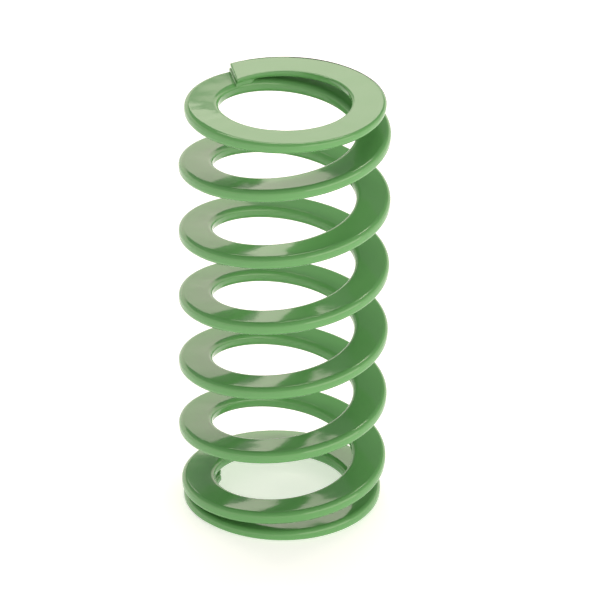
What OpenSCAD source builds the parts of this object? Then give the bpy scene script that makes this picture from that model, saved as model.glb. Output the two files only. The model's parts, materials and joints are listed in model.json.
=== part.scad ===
// Die spring: one flat steel wire coiled on edge, right-handed, with closed and ground ends.
//
// The wire is cut into short stretches on upright planes through the axis. A stretch slides along Z
// against its neighbours, so the whole coil can be pressed together, as the wire lets it in real life.
// Z runs up the axis, and the origin is the middle of the lower ground face. -Y is the front.

/* [Coil] */
// Free length, between the two ground faces
free_length = 125.5; // [120:0.5:140]
// Outside diameter of the working turns
outside_dia = 59.5; // [58:0.5:62]
// Bore of the working turns
bore_dia = 40.2; // [39:0.1:42]

/* [Wire] */
// Height of the wire along the axis
wire_height = 3.8; // [3.6:0.1:4.6]
// Radius of the wire's rounded corners
corner_radius = 1.5; // [1.1:0.1:1.7]

/* [Ends] */
// Direction of the lower cut tip, seen from above
lower_tip_angle = 150; // [145:1:155]
// Direction of the upper cut tip, seen from above
upper_tip_angle = 127; // [125:1:135]
// How much smaller the radius of the lower end turn is
lower_shrink = 1.35; // [1:0.05:1.8]
// How much smaller the radius of the upper end turn is
upper_shrink = 1.6; // [1:0.05:1.8]
// Share of the wire's height that is ground off at a tip
ground_share = 0.5; // [0.4:0.05:0.6]
// Gap between a tip and the turn that it closes on
tip_gap = 0.12; // [0.08:0.02:0.3]
// How far a sheared tip leans from a square cut, in degrees
shear_lean = 26; // [0:1:30]

/* [Hidden] */

// Angles along the wire are in degrees from +X, and grow on the way up
end_turns_apart = 8;
first_angle = lower_tip_angle;
last_angle = upper_tip_angle + 360 * end_turns_apart;
turns = (last_angle - first_angle) / 360;

// The stretches between the end turns: an eighth of a turn each, the first one centred on the front
front = 270;
stretch = 45;
stretch_count = 43;
first_cut = front + 360 - stretch / 2;
last_cut = first_cut + stretch_count * stretch;

// The pitch swells from closed to open along these turns, counted from each tip
lower_swell = [0.65, 1.7];
upper_swell = [0.55, 1.4];
// The radius grows from the end turn's to the working turns' along these turns from each tip
growth = [0.8, 1.5];

outer_r = outside_dia / 2;
inner_r = bore_dia / 2;
wire_width = outer_r - inner_r;
closed_pitch = wire_height + tip_gap;
// Wire left past a wall, for the true cylinders to cut, and past the corners beside it
spare = 0.35;
corner_spare = 0.08;
// Angle between two sections of the swept wire
step = 7.5;
corner_steps = 3;
// How far a cutting cylinder runs past the coil
past = 1;
// Angle by which an end turn stops short of the stretch that slides on it
hairline = 0.05;
paint = "#5f9a5b";

// Smooth rise from 0 to 1, and its integral
function smooth(s) = let (c = max(0, min(1, s))) c * c * (3 - 2 * c);
function smooth_sum(s) = s <= 0 ? 0 : s >= 1 ? s - 0.5 : pow(s, 3) - pow(s, 4) / 2;
function swelled(x, swell) = (swell[1] - swell[0]) * smooth_sum((x - swell[0]) / (swell[1] - swell[0]));

// The working pitch follows from the free length: the first turn at each end closes on its neighbour
function closed_share(swell) = (turns / 2 - swelled(turns / 2, swell)) / (1 - swelled(1, swell));
function open_share(swell) = swelled(turns / 2, swell) - swelled(1, swell) * closed_share(swell);
tip_height = wire_height * (0.5 - ground_share);
centre_rise = free_length - 2 * tip_height;
closed_rise = closed_pitch * (closed_share(lower_swell) + closed_share(upper_swell));
pitch = (centre_rise - closed_rise) / (open_share(lower_swell) + open_share(upper_swell));
function end_pitch(swell) = (closed_pitch - pitch * swelled(1, swell)) / (1 - swelled(1, swell));

// Height of the wire's middle, x turns from a tip, above that tip
function climb(x, swell) = end_pitch(swell) * (x - swelled(x, swell)) + pitch * swelled(x, swell);
function height_at(angle) =
    let (x = (angle - first_angle) / 360)
    x < turns / 2
        ? tip_height + climb(x, lower_swell)
        : free_length - tip_height - climb(turns - x, upper_swell);

// How far the wire is drawn in towards the axis
function drawn_in(angle) =
    let (low = (angle - first_angle) / 360, high = turns - low)
    lower_shrink * (1 - smooth((low - growth[0]) / (growth[1] - growth[0])))
    + upper_shrink * (1 - smooth((high - growth[0]) / (growth[1] - growth[0])));

// Corner arcs of the section, as [radius, height] from the wire's middle
function corner(across, up, from) = [
    for (i = [0 : corner_steps])
    let (a = from + 90 * i / corner_steps)
    [across + corner_radius * cos(a), up + corner_radius * sin(a)]
];
function section(inside, outside) =
    let (
        far = wire_width / 2,
        wall_in = far - corner_radius + (inside > 0 ? corner_spare : 0),
        wall_out = far - corner_radius + (outside > 0 ? corner_spare : 0),
        top = wire_height / 2 - corner_radius
    )
    concat(
        outside > 0 ? [[far + outside, -top], [far + outside, top]] : [],
        corner(wall_out, top, 0),
        corner(-wall_in, top, 90),
        inside > 0 ? [[-far - inside, top], [-far - inside, -top]] : [],
        corner(-wall_in, -top, 180),
        corner(wall_out, -top, 270)
    );

// A sheared tip: the angle at which a plane that leans from a square cut meets radius r
mid_r = (outer_r + inner_r) / 2;
function sheared(tip, r, lean) = tip + 90 - lean - acos(mid_r * sin(lean) / r);

function ring(angle, shape, tip) = [
    for (p = shape)
    let (
        r = mid_r - drawn_in(angle) + p[0],
        a = tip == 0 ? angle : sheared(angle, r, shear_lean)
    )
    [r * cos(a), r * sin(a), height_at(angle) + p[1]]
];

// The average of a ring's points
function middle(ring) = [for (p = ring) 1 / len(ring)] * ring;

// The wire swept from one angle to another. tip is -1 for a lower tip, 1 for an upper tip, 0 for none
module swept(from, to, shape, tip = 0) {
    count = round((to - from) / step);
    rings = [
        for (i = [0 : count])
        let (a = from + (to - from) * i / count)
        ring(a, shape, tip == -1 && i == 0 || tip == 1 && i == count ? tip : 0)
    ];
    n = len(shape);
    last = count * n;
    start_middle = last + n;
    end_middle = start_middle + 1;
    points = concat([for (r = rings) each r], [middle(rings[0]), middle(rings[count])]);
    faces = [
        for (i = [0 : count - 1], k = [0 : n - 1])
        let (j = (k + 1) % n, a = i * n)
        each [[a + k, a + n + k, a + n + j], [a + k, a + n + j, a + j]]
    ];
    start = [for (k = [0 : n - 1]) [start_middle, k, (k + 1) % n]];
    end = [for (k = [0 : n - 1]) [end_middle, last + (k + 1) % n, last + k]];
    polyhedron(points, concat(faces, start, end), convexity = 6);
}

// Room between the two ground faces
module ground_slab() {
    translate([-outside_dia, -outside_dia, 0])
        cube([2 * outside_dia, 2 * outside_dia, free_length]);
}

// A round column up the axis, past both ends of the coil
module column(r) {
    translate([0, 0, -past])
        cylinder(r = r, h = free_length + 2 * past, $fn = 96);
}

// The end turns are ground flat, and their bores are true cylinders
module ground_and_bored(bore_r) {
    color(paint)
        difference() {
            intersection() {
                children();
                ground_slab();
            }
            column(bore_r);
        }
}

module lower_end_turn() {
    ground_and_bored(inner_r - lower_shrink)
        swept(first_angle, first_cut - hairline, section(spare, 0), -1);
}

module upper_end_turn() {
    ground_and_bored(inner_r - upper_shrink)
        swept(last_cut + hairline, last_angle, section(spare, 0), 1);
}

// An eighth of a turn. Where the radius is steady, its two walls are true cylinders
module working_stretch(index) {
    from = first_cut + index * stretch;
    to = from + stretch;
    steady = drawn_in(from) < 0.001 && drawn_in(to) < 0.001;
    color(paint)
        if (steady) {
            difference() {
                intersection() {
                    swept(from, to, section(spare, spare));
                    column(outer_r);
                }
                column(inner_r);
            }
        } else {
            swept(from, to, section(0, 0));
        }
}

lower_end_turn();
for (i = [0 : stretch_count - 1]) working_stretch(i);
upper_end_turn();
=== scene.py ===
# %% [markdown]
# # A green die spring
# A die spring pushes the plates of a press tool apart. It is one flat steel wire, coiled on edge, closed and
# ground flat at both ends, and sprayed with gloss enamel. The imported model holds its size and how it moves,
# as short stretches of wire that slide past each other. Here the same wire is wound again as one smooth,
# round-edged coil, and painted. Lengths are in millimetres until a mesh is finished, because the drawing of
# a spring is. The last step of each mesh turns them to metres. Two lengths that differ by less than a hair
# count as the same.

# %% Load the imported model
import json
import math

import bmesh
import bpy
from mathutils import Matrix, Vector


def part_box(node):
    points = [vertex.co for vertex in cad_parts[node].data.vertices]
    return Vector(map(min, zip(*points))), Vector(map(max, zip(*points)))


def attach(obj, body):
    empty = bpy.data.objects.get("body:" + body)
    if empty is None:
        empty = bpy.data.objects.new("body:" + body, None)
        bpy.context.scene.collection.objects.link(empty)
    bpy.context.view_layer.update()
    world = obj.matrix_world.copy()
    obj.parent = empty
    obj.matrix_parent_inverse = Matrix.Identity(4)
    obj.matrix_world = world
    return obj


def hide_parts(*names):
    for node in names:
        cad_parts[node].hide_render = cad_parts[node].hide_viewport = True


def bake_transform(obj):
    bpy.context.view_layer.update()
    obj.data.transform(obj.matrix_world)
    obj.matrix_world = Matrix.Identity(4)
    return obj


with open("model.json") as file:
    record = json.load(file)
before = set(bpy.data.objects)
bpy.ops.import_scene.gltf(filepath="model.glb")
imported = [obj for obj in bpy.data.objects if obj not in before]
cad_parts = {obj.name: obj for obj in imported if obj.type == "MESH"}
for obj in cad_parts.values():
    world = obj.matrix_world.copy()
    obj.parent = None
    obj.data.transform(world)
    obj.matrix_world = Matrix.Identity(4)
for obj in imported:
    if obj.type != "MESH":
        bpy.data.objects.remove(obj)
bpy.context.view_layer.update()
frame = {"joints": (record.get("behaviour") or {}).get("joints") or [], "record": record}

METRES = 0.001
HAIR = 1e-6

# %% [markdown]
# ## The coil's sizes
# A spring's drawing gives its free length, the hole that it fits, the rod that it takes and its wire. The
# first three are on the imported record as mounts, so they are read from there and can't drift from the
# design. The bore of the working turns is read from one stretch of wire: the stretch behind the axis starts
# and ends half a stretch from straight back, so its nearest corner lies at the bore times a cosine.

# %% Read the sizes
mounts = {mount["name"]: mount for mount in frame["record"]["mounts"]}
outer_r = mounts["pocket_fit"]["dims"]["r_mm"]
lower_bore_r = mounts["lower_rod_bore"]["dims"]["r_mm"]
upper_bore_r = mounts["upper_rod_bore"]["dims"]["r_mm"]
free_length = mounts["upper_seat"]["pos_m"][2] / METRES

stretch = 45.0
back_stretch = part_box("turn_4_back")[0]
inner_r = back_stretch.y / METRES / math.cos(math.radians(stretch / 2))

mid_r = (outer_r + inner_r) / 2
wire_width = outer_r - inner_r
wire_height = 3.8
corner_radius = 1.5
print("free length", free_length, "bore", round(2 * inner_r, 3), "wire", round(wire_width, 3), wire_height)

# %% [markdown]
# ## How the wire climbs
# A die spring isn't one even helix. Its first turn at each end lies on its neighbour, then the pitch swells
# to that of the working turns. An angle here is in degrees from +X and grows on the way up, through all
# eight turns. The pitch between the tip and the working turns follows a smooth step, and its integral is
# the height, so the wire has no kink. The working pitch is what is left of the free length.

# %% The law of the coil
lower_tip = 150.0
upper_tip = 127.0 + 360 * 8
turns = (upper_tip - lower_tip) / 360
lower_swell = (0.65, 1.7)
upper_swell = (0.55, 1.4)
growth = (0.8, 1.5)
tip_gap = 0.12
closed_pitch = wire_height + tip_gap


def smooth(share):
    """A smooth rise from 0 to 1."""
    share = max(0.0, min(1.0, share))
    return share * share * (3 - 2 * share)


def swelled(x, swell):
    """The integral of the smooth rise of the pitch, x turns from a tip."""
    width = swell[1] - swell[0]
    share = (x - swell[0]) / width
    if share <= 0:
        return 0.0
    return width * (share - 0.5 if share >= 1 else share ** 3 - share ** 4 / 2)


def closed_share(swell):
    """How many closed pitches half of the coil climbs."""
    return (turns / 2 - swelled(turns / 2, swell)) / (1 - swelled(1, swell))


def open_share(swell):
    """How many working pitches half of the coil climbs."""
    return swelled(turns / 2, swell) - swelled(1, swell) * closed_share(swell)


closed_rise = closed_pitch * (closed_share(lower_swell) + closed_share(upper_swell))
pitch = (free_length - closed_rise) / (open_share(lower_swell) + open_share(upper_swell))


def climb(x, swell):
    """Height of the wire's middle, x turns from a tip, above that tip."""
    end_pitch = (closed_pitch - pitch * swelled(1, swell)) / (1 - swelled(1, swell))
    return end_pitch * (x - swelled(x, swell)) + pitch * swelled(x, swell)


def height_at(angle):
    """Height of the wire's middle. Half of the wire's height is ground off at each tip."""
    x = (angle - lower_tip) / 360
    if x < turns / 2:
        return climb(x, lower_swell)
    return free_length - climb(turns - x, upper_swell)


def drawn_in(angle):
    """How much nearer to the axis the end turns lie than the working turns."""
    low = (angle - lower_tip) / 360
    high = turns - low
    width = growth[1] - growth[0]
    lower = (inner_r - lower_bore_r) * (1 - smooth((low - growth[0]) / width))
    upper = (inner_r - upper_bore_r) * (1 - smooth((high - growth[0]) / width))
    return lower + upper


print("turns", round(turns, 3), "working pitch", round(pitch, 3))

# %% [markdown]
# ## Grinding the ends
# Grinding takes off what stands past the two end planes, and the enamel then rounds the new edge. A plane
# cut of the mesh would leave a hard edge that fades out in slivers. Instead, the upper corners of the
# section are pushed down together until its top lies in the end plane, and they tighten as they go, so the
# ground ring keeps a thin round edge up to where the wire dips below the plane. Near the tip they tighten
# further, to leave room for the corners on the other side. Nothing may stand past the end plane, so each
# point is held inside it last. That last step has a known fault: where more than about a quarter of the
# wire's height is ground off, it also turns the foot of the corner back over the wire's middle.

# %% Wind a point of the wire onto the coil
ground_tightening = 0.4
ground_fade = 0.8
ground_margin = 0.9
shear_lean = math.radians(26.0)
shear_reach = 12.0


def ground_off(angle):
    """How much of the section's top and bottom is past the end planes."""
    top = height_at(angle) + wire_height / 2 - free_length
    bottom = wire_height / 2 - height_at(angle)
    return max(0.0, top), max(0.0, bottom)


def ground_section(angle, across, up):
    """Where a point of the section goes when the ends are ground and painted."""
    top, bottom = ground_off(angle)
    excess = top if up > 0 else bottom
    if excess <= 0:
        return across, up
    side = math.copysign(1, up)
    room = ground_margin * (wire_height - excess - corner_radius) / corner_radius
    keep = min(1 - ground_tightening * smooth(excess / ground_fade), room)
    core = wire_width / 2 - corner_radius
    plane = wire_height / 2 - excess
    if abs(up) > wire_height / 2 - corner_radius - HAIR:
        if abs(across) > core - HAIR:
            across = math.copysign(wire_width / 2 - (wire_width / 2 - abs(across)) * keep, across)
        up = side * (plane - (wire_height / 2 - abs(up)) * keep)
    return across, side * min(plane, abs(up))


def shear_turn(angle, r):
    """How far a point turns so that the wire's tip lies on a plane that leans from a square cut."""
    turn = 90 - math.degrees(shear_lean) - math.degrees(math.acos(mid_r * math.sin(shear_lean) / r))
    near = max(smooth(1 - (angle - lower_tip) / shear_reach), smooth(1 - (upper_tip - angle) / shear_reach))
    return turn * near


def wind(angle, across, up):
    """The place of a point of the wire, in millimetres: angle along it, and across and up in its section."""
    across, up = ground_section(angle, across, up)
    r = mid_r - drawn_in(angle) + across
    turn = math.radians(angle + shear_turn(angle, r))
    return Vector((r * math.cos(turn), r * math.sin(turn), height_at(angle) + up))


def section_normal(across, up):
    """Which way the section's outline faces at a point of it."""
    core = Vector((wire_width / 2 - corner_radius, wire_height / 2 - corner_radius))
    nearest = Vector((max(-core.x, min(core.x, across)), max(-core.y, min(core.y, up))))
    return (Vector((across, up)) - nearest).normalized()


def wound_normal(angle, across, up):
    """The true normal of the wound wire: square to its run and to the outline of its section."""
    small = 0.05
    run = wind(angle + small, across, up) - wind(angle - small, across, up)
    facing = section_normal(across, up)
    outwards = Vector((math.cos(math.radians(angle)), math.sin(math.radians(angle)), 0))
    upwards = Vector((0, 0, 1))
    outline = outwards * -facing.y + upwards * facing.x
    normal = run.cross(outline).normalized()
    return normal if normal.dot(outwards * facing.x + upwards * facing.y) > 0 else -normal


print("wire's middle at the tips", round(height_at(lower_tip), 3), round(height_at(upper_tip), 3))

# %% [markdown]
# ## A length of wire
# The wire comes off a reel straight, with rounded corners, and is wound. The mesh is made the same way: a
# square is stretched to the wire's section, its corners are beveled round, it is extruded to a bar, and the
# bar's long edges are cut into one-degree steps. Then each vertex is wound onto the coil. Winding keeps
# what each vertex was, so its true normal can be worked out and stored: no flat face is shaded as if it
# were dished, and the joins between lengths don't show.

# %% Make one length of wire
corner_segments = 6
degree_step = 1.0
arc_per_degree = math.radians(mid_r)
tip_round = 0.35
tip_round_segments = 3


def straight_bar(start, end, width, height, radius, steps):
    """A closed bar with round corners. X is the angle along the coil as an arc at the wire's middle."""
    bar = bmesh.new()
    bmesh.ops.create_grid(bar, x_segments=1, y_segments=1, size=0.5)
    bmesh.ops.scale(bar, vec=(width, height, 1), verts=bar.verts)
    bmesh.ops.bevel(
        bar, geom=bar.verts[:], offset=radius, segments=corner_segments, profile=0.5,
        affect="VERTICES", material=-1,
    )
    stand_up = Matrix(((0, 0, 1), (1, 0, 0), (0, 1, 0)))
    bmesh.ops.rotate(bar, cent=(0, 0, 0), matrix=stand_up, verts=bar.verts)
    bmesh.ops.translate(bar, vec=(start * arc_per_degree, 0, 0), verts=bar.verts)
    grown = bmesh.ops.extrude_face_region(bar, geom=bar.faces[:])
    moved = [part for part in grown["geom"] if isinstance(part, bmesh.types.BMVert)]
    bmesh.ops.translate(bar, vec=((end - start) * arc_per_degree, 0, 0), verts=moved)
    long_edges = [edge for edge in bar.edges if abs(edge.verts[0].co.x - edge.verts[1].co.x) > HAIR]
    bmesh.ops.subdivide_edges(bar, edges=long_edges, cuts=steps - 1, use_grid_fill=False)
    bmesh.ops.recalc_face_normals(bar, faces=bar.faces)
    return bar


def round_tip(bar, x):
    """Rounds the edges of the cut face at x, as the enamel does."""
    edges = [edge for edge in bar.edges if all(abs(vert.co.x - x) < HAIR for vert in edge.verts)]
    bmesh.ops.bevel(
        bar, geom=edges, offset=tip_round, segments=tip_round_segments, profile=0.5,
        affect="EDGES", material=-1,
    )


def wound_mesh(name, bar, ends, tips):
    """Winds a bar, stores each vertex's place on the wire, and gives it its true normals."""
    places = bar.verts.layers.float_vector.new("along_wire")
    for vert in bar.verts:
        along, across, up = vert.co
        vert[places] = (along, across, up)
        vert.co = wind(along / arc_per_degree, across, up)
    bmesh.ops.reverse_faces(bar, faces=bar.faces)
    bar.normal_update()
    normals = []
    for face in bar.faces:
        middles = [vert[places][0] for vert in face.verts]
        is_flat = max(middles) - min(middles) < HAIR
        is_cap = is_flat and any(abs(middles[0] - end) < HAIR for end in ends)
        face.smooth = True
        for vert in face.verts:
            along, across, up = vert[places]
            near_tip = any(abs(along - tip) < tip_round + HAIR for tip in tips)
            if is_cap:
                normals.append(face.normal.copy())
            elif near_tip:
                normals.append(vert.normal.copy())
            else:
                normals.append(wound_normal(along / arc_per_degree, across, up))
        if is_cap:
            for edge in face.edges:
                edge.smooth = False
    bmesh.ops.scale(bar, vec=(METRES, METRES, METRES), verts=bar.verts)
    mesh = bpy.data.meshes.new(name)
    bar.to_mesh(mesh)
    bar.free()
    mesh.normals_split_custom_set(normals)
    return mesh


def length_of_wire(name, start, end):
    """One closed length of the coil between two angles, rounded where it ends in a tip."""
    steps = round((end - start) / degree_step)
    bar = straight_bar(start, end, wire_width, wire_height, corner_radius, steps)
    ends = [start * arc_per_degree, end * arc_per_degree]
    tips = [x for x, angle in zip(ends, (start, end)) if angle in (lower_tip, upper_tip)]
    for tip in tips:
        round_tip(bar, tip)
    piece = bpy.data.objects.new(name, wound_mesh(name, bar, ends, tips))
    bpy.context.scene.collection.objects.link(piece)
    return piece


print("steps in one stretch", round(stretch / degree_step))

# %% [markdown]
# ## The working turns
# On the real spring the wire twists a little all along its length, so each point moves a little more than
# the one below it. The imported model does this with stretches of an eighth of a turn, each of which slides
# on the one below. A length of wire here runs from the middle of one stretch to the middle of the next.
# Each of its cut faces lies at one angle along the coil, so the next length meets it exactly.

# %% Wind the working turns
stretches = [joint["child"] for joint in frame["joints"] if joint["child"].startswith("turn_")]
front = 270.0
first_middle = front + 360


coil = []
for index, body in enumerate(stretches):
    end = first_middle + index * stretch
    piece = length_of_wire("wire_to_" + body, end - stretch, end)
    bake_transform(piece)
    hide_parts(body)
    coil.append(piece)
last_middle = first_middle + (len(stretches) - 1) * stretch
print("lengths of wire between the ends", len(coil))

# %% [markdown]
# ## The end turns
# Each end turn is closed on its neighbour, ground flat and a little smaller than the working turns, so the
# rod runs on it. Its tip is sheared off the reel, so the cut leans. The two are lengths of the same wire,
# with the tip's edges rounded by the enamel.

# %% Wind the end turns
lower_end = length_of_wire("lower_end_wire", lower_tip, first_middle - stretch)
upper_end = length_of_wire("upper_end_wire", last_middle, upper_tip)
for piece, body in ((lower_end, "lower_end_turn"), (upper_end, "upper_end_turn")):
    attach(piece, body)
    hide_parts(body)
    coil.append(piece)
print("end turns", [len(piece.data.polygons) for piece in (lower_end, upper_end)])

# %% [markdown]
# ## Paint in the crack at each tip
# A tip nearly touches the turn that it closes on. Sprayed enamel bridges a crack that thin, runs a little
# way along it and dries in a low bead round the cut. Each bead is a thin bar, wound like the wire and laid
# halfway between the two turns. It narrows as the crack opens, and it laps over the edges of both turns.

# %% Fill the cracks
paint_reach = 14.0
paint_lip = 1.0
paint_lap = 1.3
paint_inset = 0.32
paint_narrowing = 0.35
bar_height = 1.0
bar_radius = 0.25


def tip_paint(name, tip, side):
    """The enamel between a tip and its neighbour. side is 1 where the wire runs up from the tip, else -1."""
    start, end = sorted((tip - side * paint_lip, tip + side * paint_reach))
    steps = round((end - start) / degree_step)
    bar = straight_bar(start, end, wire_width - 2 * paint_inset, bar_height, bar_radius, steps)
    places = bar.verts.layers.float_vector.new("along_wire")
    for vert in bar.verts:
        along, across, up = vert.co
        vert[places] = (along, across, up)
        angle = along / arc_per_degree
        neighbour = angle + side * 360
        gap = abs(height_at(neighbour) - height_at(angle)) - wire_height
        middle_height = (height_at(neighbour) + height_at(angle)) / 2
        share = side * (angle - tip) / paint_reach
        across *= 1 - paint_narrowing * smooth(2 * share - 1)
        r = mid_r - (drawn_in(neighbour) + drawn_in(angle)) / 2 + across
        turn = math.radians(angle + shear_turn(angle, r))
        thickness = (gap + paint_lap) / bar_height
        vert.co = (r * math.cos(turn), r * math.sin(turn), middle_height + up * thickness)
    bmesh.ops.reverse_faces(bar, faces=bar.faces)
    bmesh.ops.scale(bar, vec=(METRES, METRES, METRES), verts=bar.verts)
    mesh = bpy.data.meshes.new(name)
    bar.to_mesh(mesh)
    bar.free()
    mesh.shade_smooth()
    bead = bpy.data.objects.new(name, mesh)
    bpy.context.scene.collection.objects.link(bead)
    return bead


beads = []
for name, body, tip, side in (
    ("lower_tip_paint", "lower_end_turn", lower_tip, 1),
    ("upper_tip_paint", "upper_end_turn", upper_tip, -1),
):
    bead = tip_paint(name, tip, side)
    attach(bead, body)
    beads.append(bead)
coil += beads
print("beads of paint at the tips", len(beads))

# %% [markdown]
# ## The enamel
# The finish is a stoved gloss enamel, sprayed on and baked. What it gives the eye is a clean, deep colour
# under a hard, smooth, clear-edged shine, which wobbles a little where the film has dried in the fine bumps
# called orange peel. Painters call the longer waves flow. Both are far too shallow to model as shape, so
# they are bumps, scaled from real sizes in millimetres, on the wire's own coordinates, so that they stay
# put when the coil closes.

# %% Helpers for the materials
def linear(hex_colour):
    """An sRGB hex colour as linear RGBA."""
    channels = [int(hex_colour[i:i + 2], 16) / 255 for i in (1, 3, 5)]
    return [c / 12.92 if c <= 0.04045 else ((c + 0.055) / 1.055) ** 2.4 for c in channels] + [1.0]


def add_node(owner, kind, settings=None, inputs=None):
    """Adds a node to a material or a world, sets its properties, and sets or links its inputs."""
    node = owner.node_tree.nodes.new(kind)
    for key, value in (settings or {}).items():
        setattr(node, key, value)
    for key, value in (inputs or {}).items():
        if isinstance(value, bpy.types.NodeSocket):
            owner.node_tree.links.new(value, node.inputs[key])
        else:
            node.inputs[key].default_value = value
    return node


# %% Mix the green enamel
orange_peel_mm = 1.1
orange_peel_depth_mm = 0.004
flow_mm = 7.0
flow_depth_mm = 0.1
mottle_mm = 14.0
dark_green = "#5d9857"
light_green = "#629c5d"
gloss_roughness = 0.08
enamel_ior = 1.5


def green_enamel():
    """Stoved gloss enamel on steel: a smooth, hard, saturated film, never metallic."""
    material = bpy.data.materials.new("stoved_gloss_green_enamel")
    material.use_nodes = True
    material.node_tree.nodes.clear()
    wire = add_node(material, "ShaderNodeAttribute", {"attribute_name": "along_wire"})
    place = wire.outputs["Vector"]
    mottle = add_node(material, "ShaderNodeTexNoise", {"noise_dimensions": "3D"}, {
        "Vector": place, "Scale": 1 / mottle_mm, "Detail": 2.0, "Roughness": 0.5,
    })
    colour = add_node(material, "ShaderNodeMix", {"data_type": "RGBA"}, {
        "Factor": mottle.outputs["Fac"], "A": linear(dark_green), "B": linear(light_green),
    })
    flow = add_node(material, "ShaderNodeTexNoise", {"noise_dimensions": "3D"}, {
        "Vector": place, "Scale": 1 / flow_mm, "Detail": 1.0, "Roughness": 0.4,
    })
    flow_bump = add_node(material, "ShaderNodeBump", {}, {
        "Height": flow.outputs["Fac"], "Distance": flow_depth_mm * METRES, "Strength": 1.0,
    })
    peel = add_node(material, "ShaderNodeTexNoise", {"noise_dimensions": "3D"}, {
        "Vector": place, "Scale": 1 / orange_peel_mm, "Detail": 1.0, "Roughness": 0.4,
    })
    peel_bump = add_node(material, "ShaderNodeBump", {}, {
        "Height": peel.outputs["Fac"], "Distance": orange_peel_depth_mm * METRES, "Strength": 1.0,
        "Normal": flow_bump.outputs["Normal"],
    })
    paint = add_node(material, "ShaderNodeBsdfPrincipled", {}, {
        "Base Color": colour.outputs["Result"], "Roughness": gloss_roughness, "IOR": enamel_ior,
        "Normal": peel_bump.outputs["Normal"],
    })
    add_node(material, "ShaderNodeOutputMaterial", {}, {"Surface": paint.outputs["BSDF"]})
    return material


enamel = green_enamel()
for piece in coil:
    piece.data.materials.append(enamel)
print("painted", len(coil), "pieces with", enamel.name)

# %% [markdown]
# ## Floor, light and camera
# A small glossy part is lit for a catalogue with white cards and soft boxes, because what shows on gloss is
# what it mirrors. The room is a pale cove up to about 20 degrees above the horizon and dim above it. A soft
# box behind the spring shows on its upper faces as pale patches, and a bright strip overhead lights them
# from above. A wide, dimmer card at the right of the front lights the outer walls. The floor is a light
# table, which glows a little, so that the ground stays white.

# %% Set the floor
floor_reach = 20.0
table_white = "#f2f2f2"
table_glow = "#fffdf8"
table_glow_strength = 0.5

floor_mesh = bpy.data.meshes.new("floor")
floor_shape = bmesh.new()
bmesh.ops.create_grid(floor_shape, x_segments=1, y_segments=1, size=floor_reach)
floor_shape.to_mesh(floor_mesh)
floor_shape.free()
floor = bpy.data.objects.new("floor", floor_mesh)
bpy.context.scene.collection.objects.link(floor)


def light_table():
    """Matt white acrylic, lit a little from below, as a catalogue's light table is."""
    material = bpy.data.materials.new("matt_white_acrylic")
    material.use_nodes = True
    material.node_tree.nodes.clear()
    acrylic = add_node(material, "ShaderNodeBsdfPrincipled", {}, {
        "Base Color": linear(table_white), "Roughness": 0.9, "IOR": 1.4,
        "Emission Color": linear(table_glow), "Emission Strength": table_glow_strength,
    })
    add_node(material, "ShaderNodeOutputMaterial", {}, {"Surface": acrylic.outputs["BSDF"]})
    return material


floor.data.materials.append(light_table())
print("floor reaches", floor_reach, "m each way")

# %% Hang the lights
middle = Vector((0, 0, free_length * METRES / 2))


def towards(azimuth, elevation):
    """The direction from the spring to a place in the room. Azimuth 0 is behind it and 90 is to its right."""
    a, e = math.radians(azimuth), math.radians(elevation)
    return Vector((math.sin(a) * math.cos(e), math.cos(a) * math.cos(e), math.sin(e)))


warm_white = (1.0, 0.9, 0.8)


def soft_box(name, azimuth, elevation, distance, width, height, glow):
    """A flat white light that faces the spring. glow is how bright its face looks, where 1 is white."""
    light = bpy.data.lights.new(name, "AREA")
    light.shape = "RECTANGLE"
    light.size = width
    light.size_y = height
    light.energy = glow * math.pi * width * height
    light.color = warm_white
    lamp = bpy.data.objects.new(name, light)
    lamp.location = middle + towards(azimuth, elevation) * distance
    lamp.rotation_euler = towards(azimuth, elevation).to_track_quat("Z", "Y").to_euler()
    bpy.context.scene.collection.objects.link(lamp)


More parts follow.
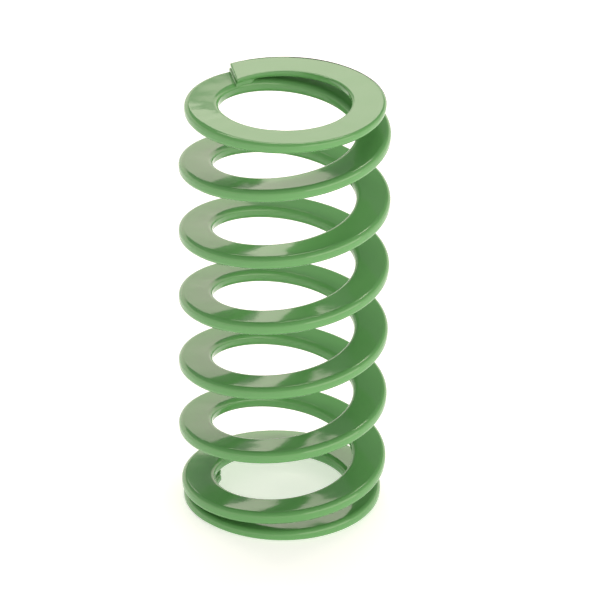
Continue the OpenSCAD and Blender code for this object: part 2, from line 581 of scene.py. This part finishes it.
soft_box("back_soft_box", azimuth=-4.5, elevation=29, distance=1.6, width=0.42, height=0.34, glow=2.5)
soft_box("overhead_strip_box", azimuth=0, elevation=66, distance=1.5, width=1.5, height=0.3, glow=8.0)
soft_box("right_front_card", azimuth=130, elevation=14, distance=1.5, width=1.8, height=1.0, glow=1.9)
print("lights", [light.name for light in bpy.data.lights])

# %% Paint the room
cove_top = math.radians(18.5)
dim_from = math.radians(20.5)
cove_glow = (1.65, 1.48, 1.35, 1)
dim_glow = (0.34, 0.34, 0.34, 1)

world = bpy.data.worlds.new("studio_cove")
bpy.context.scene.world = world
world.use_nodes = True
world.node_tree.nodes.clear()
direction = add_node(world, "ShaderNodeTexCoord")
split = add_node(world, "ShaderNodeSeparateXYZ", {}, {"Vector": direction.outputs["Generated"]})
cove = add_node(world, "ShaderNodeValToRGB", {}, {"Fac": split.outputs["Z"]})
cove.color_ramp.elements[0].position = math.sin(cove_top)
cove.color_ramp.elements[0].color = cove_glow
cove.color_ramp.elements[1].position = math.sin(dim_from)
cove.color_ramp.elements[1].color = dim_glow
sky = add_node(world, "ShaderNodeBackground", {}, {"Color": cove.outputs["Color"], "Strength": 1.0})
add_node(world, "ShaderNodeOutputWorld", {}, {"Surface": sky.outputs["Background"]})
bpy.context.scene.view_settings.view_transform = "Standard"
print("room dims between", [round(math.degrees(angle), 1) for angle in (cove_top, dim_from)], "degrees")

# %% [markdown]
# The camera stands in front, at 28 degrees above the floor, with a long lens, so that the turns hardly
# shrink from front to back. The spring stands a little left of the middle of the frame.

# %% Place the camera
camera_height = math.radians(28.0)
camera_distance = 1.419
camera_roll = math.radians(0.6)
camera_lens = 300.5
sensor_width = 36
nearest_seen = 0.05
off_centre = Vector((4.65, 0, -0.05)) * METRES

camera_data = bpy.data.cameras.new("camera")
camera_data.lens = camera_lens
camera_data.sensor_width = sensor_width
camera_data.clip_start = nearest_seen
camera = bpy.data.objects.new("camera", camera_data)
back = Vector((0, -math.cos(camera_height), math.sin(camera_height)))
aim = middle + off_centre
camera.location = aim + back * camera_distance
facing = back.to_track_quat("Z", "Y").to_matrix().to_4x4()
camera.rotation_euler = (facing @ Matrix.Rotation(camera_roll, 4, "Z")).to_euler()
bpy.context.scene.collection.objects.link(camera)
bpy.context.scene.camera = camera
print("camera at", [round(value, 3) for value in camera.location])
